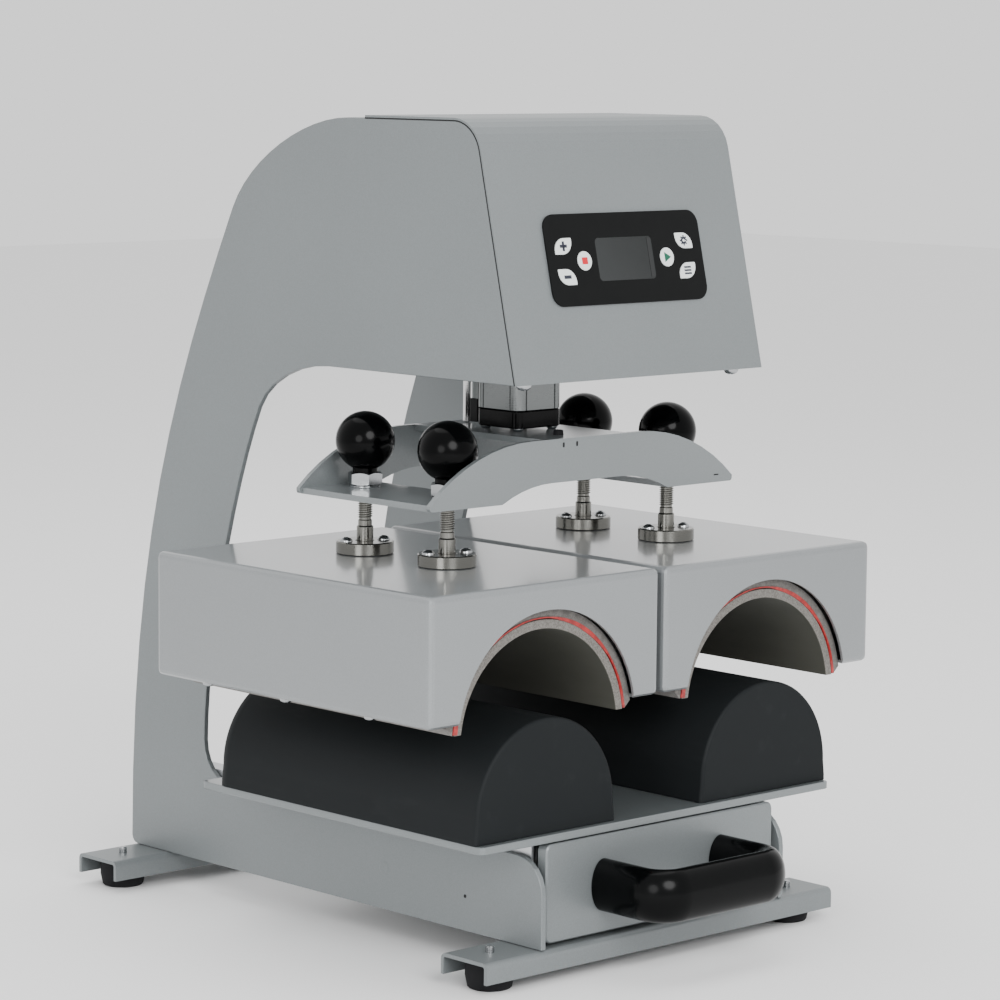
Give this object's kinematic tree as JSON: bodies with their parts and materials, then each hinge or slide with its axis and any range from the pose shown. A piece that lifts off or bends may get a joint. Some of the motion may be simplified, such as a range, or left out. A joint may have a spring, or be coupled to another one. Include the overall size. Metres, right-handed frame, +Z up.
{
  "type": "sock heat press",
  "caption": "Countertop heat press that closes arched heated platens over rubber sock forms on a sliding tray, with a digital panel on its head.",
  "frame": {"origin": "on the floor under the middle of the machine's bounding box", "axes": "+Z up, -Y towards the operator, +X to the operator's right"},
  "size_m": [0.41, 0.4896, 0.5518],
  "materials": {
    "grey_paint": "silver-grey powder coat, satin",
    "satin_shell": "silver-grey satin paint on folded sheet",
    "black_gloss": "glossy black moulding",
    "black_plastic": "matte black moulding",
    "rubber": "matte dark grey silicone rubber",
    "steel": "turned stainless steel",
    "zinc": "zinc-plated steel",
    "chrome": "ground and chromed steel",
    "aluminium": "anodised extrusion",
    "key": "printed key tops",
    "board": "circuit board",
    "insulation": "dark felt and fibre insulation",
    "heater": "red silicone heater mat",
    "lining": "dark silicone sponge"
  },
  "bodies": {
    "frame": {"side_plate_left": "grey_paint", "side_plate_right": "grey_paint", "front_channel": "grey_paint", "rear_channel": "grey_paint", "rubber_foot_front_left": "rubber", "rubber_foot_front_right": "rubber", "rubber_foot_rear_left": "rubber", "rubber_foot_rear_right": "rubber", "head_front_cover": "grey_paint", "head_rear_cover": "grey_paint", "head_floor_plate": "grey_paint", "control_panel": "black_plastic", "display_board": "board", "actuator_body": "aluminium", "actuator_end_cap": "black_plastic", "limit_switch": "black_plastic", "power_module": "black_plastic", "slide_rail_fixed_left": "zinc", "slide_rail_fixed_right": "zinc"},
    "press": {"yoke": "grey_paint", "piston_rod": "chrome", "guide_rod": "chrome"},
    "drawer": {"tray_plate": "grey_paint", "form_left": "rubber", "form_right": "rubber", "drawer_front": "grey_paint", "drawer_handle": "black_gloss", "drawer_side_left": "grey_paint", "drawer_side_right": "grey_paint", "slide_rail_inner_left": "zinc", "slide_rail_inner_right": "zinc"},
    "middle_rail_left": {"slide_rail_middle_left": "zinc"},
    "middle_rail_right": {"slide_rail_middle_right": "zinc"},
    "rocker": {"rocker_switch": "black_gloss"},
    "platen_left": {"platen_housing_left": "satin_shell", "insulation_left": "insulation", "heater_mat_left": "heater", "press_lining_left": "lining", "rod_flange_left_front": "steel", "rod_flange_left_rear": "steel"},
    "platen_right": {"platen_housing_right": "satin_shell", "insulation_right": "insulation", "heater_mat_right": "heater", "press_lining_right": "lining", "rod_flange_right_front": "steel", "rod_flange_right_rear": "steel"},
    "adjuster_left_front": {"ball_knob_left_front": "black_gloss", "threaded_rod_left_front": "zinc"},
    "adjuster_left_rear": {"ball_knob_left_rear": "black_gloss", "threaded_rod_left_rear": "zinc"},
    "adjuster_right_front": {"ball_knob_right_front": "black_gloss", "threaded_rod_right_front": "zinc"},
    "adjuster_right_rear": {"ball_knob_right_rear": "black_gloss", "threaded_rod_right_rear": "zinc"},
    "button_plus": {"key_plus": "key"},
    "button_minus": {"key_minus": "key"},
    "button_set": {"key_set": "key"},
    "button_mode": {"key_mode": "key"},
    "button_start": {"key_start": "key"},
    "button_stop": {"key_stop": "key"}
  },
  "joints": [
    {"name": "press_slide", "type": "slide", "parent": "frame", "child": "press", "axis": [0, 0, -1], "range_m": [0, 0.053]},
    {"name": "drawer_slide", "type": "slide", "parent": "frame", "child": "drawer", "axis": [0, -1, 0], "range_m": [0, 0.26]},
    {"name": "middle_rail_slide_left", "type": "slide", "parent": "frame", "child": "middle_rail_left", "axis": [0, -1, 0], "range_m": [0, 0.13]},
    {"name": "middle_rail_slide_right", "type": "slide", "parent": "frame", "child": "middle_rail_right", "axis": [0, -1, 0], "range_m": [0, 0.13]},
    {"name": "platen_lift_left", "type": "slide", "parent": "press", "child": "platen_left", "axis": [0, 0, 1], "range_m": [0, 0.02005]},
    {"name": "knob_turn_left_front", "type": "hinge", "parent": "platen_left", "child": "adjuster_left_front", "pos_m": [-0.1025, -0.07905, 0.335], "axis": [0, 0, 1], "range_deg": [0, 4800]},
    {"name": "knob_turn_left_rear", "type": "hinge", "parent": "platen_left", "child": "adjuster_left_rear", "pos_m": [-0.1025, 0.00275, 0.335], "axis": [0, 0, 1], "range_deg": [0, 4810]},
    {"name": "platen_lift_right", "type": "slide", "parent": "press", "child": "platen_right", "axis": [0, 0, 1], "range_m": [0, 0.02005]},
    {"name": "knob_turn_right_front", "type": "hinge", "parent": "platen_right", "child": "adjuster_right_front", "pos_m": [0.1025, -0.07905, 0.335], "axis": [0, 0, 1], "range_deg": [0, 4800]},
    {"name": "knob_turn_right_rear", "type": "hinge", "parent": "platen_right", "child": "adjuster_right_rear", "pos_m": [0.1025, 0.00275, 0.335], "axis": [0, 0, 1], "range_deg": [0, 4810]},
    {"name": "press_plus", "type": "slide", "parent": "frame", "child": "button_plus", "axis": [0, 0.9738, -0.2273], "range_m": [0, 0.0005], "stiffness_N_per_m": 400, "springref_m": -0.0005},
    {"name": "press_minus", "type": "slide", "parent": "frame", "child": "button_minus", "axis": [0, 0.9738, -0.2273], "range_m": [0, 0.0005], "stiffness_N_per_m": 400, "springref_m": -0.0005},
    {"name": "press_set", "type": "slide", "parent": "frame", "child": "button_set", "axis": [0, 0.9738, -0.2273], "range_m": [0, 0.0005], "stiffness_N_per_m": 400, "springref_m": -0.0005},
    {"name": "press_mode", "type": "slide", "parent": "frame", "child": "button_mode", "axis": [0, 0.9738, -0.2273], "range_m": [0, 0.0005], "stiffness_N_per_m": 400, "springref_m": -0.0005},
    {"name": "press_start", "type": "slide", "parent": "frame", "child": "button_start", "axis": [0, 0.9738, -0.2273], "range_m": [0, 0.0005], "stiffness_N_per_m": 400, "springref_m": -0.0005},
    {"name": "press_stop", "type": "slide", "parent": "frame", "child": "button_stop", "axis": [0, 0.9738, -0.2273], "range_m": [0, 0.0005], "stiffness_N_per_m": 400, "springref_m": -0.0005},
    {"name": "rocker_tilt", "type": "hinge", "parent": "frame", "child": "rocker", "pos_m": [0, 0.15036, 0.44765], "axis": [-1, 0, 0], "range_deg": [0, 20]}
  ],
  "couplings": [
    {"joint": "middle_rail_slide_left", "follows": "drawer_slide", "ratio": 0.5},
    {"joint": "middle_rail_slide_right", "follows": "drawer_slide", "ratio": 0.5},
    {"joint": "knob_turn_left_rear", "follows": "knob_turn_left_front", "ratio": 1},
    {"joint": "platen_lift_left", "follows": "knob_turn_left_front", "m_per_rad": 0.00023873},
    {"joint": "knob_turn_right_rear", "follows": "knob_turn_right_front", "ratio": 1},
    {"joint": "platen_lift_right", "follows": "knob_turn_right_front", "m_per_rad": 0.00023873}
  ]
}
